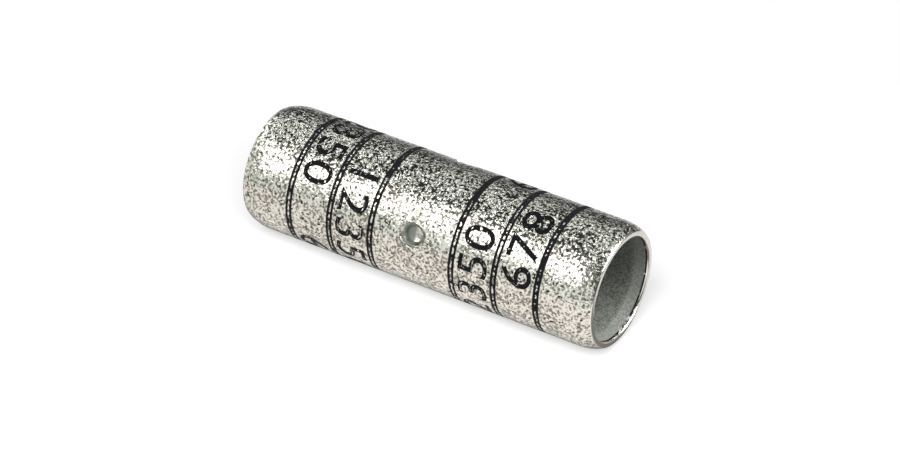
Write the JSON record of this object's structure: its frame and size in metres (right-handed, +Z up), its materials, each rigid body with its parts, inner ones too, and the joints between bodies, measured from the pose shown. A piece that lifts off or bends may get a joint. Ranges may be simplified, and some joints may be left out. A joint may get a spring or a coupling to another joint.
{
  "type": "compression splice",
  "caption": "Straight tin-plated copper tube with nosed ends, flared mouths and staked wire stops at mid-length, crimped to join stranded conductors end to end.",
  "frame": {"origin": "centre of the lower end face, on the barrel's axis", "axes": "+Z up along the barrel's axis, from the lower mouth to the upper one; -Y through the centre of one stop stake"},
  "size_m": [0.0148, 0.0147, 0.0455],
  "materials": {
    "tin_plate": "satin",
    "band_ink": "matte"
  },
  "bodies": {
    "root": {"splice_barrel": "tin_plate"}
  },
  "joints": []
}
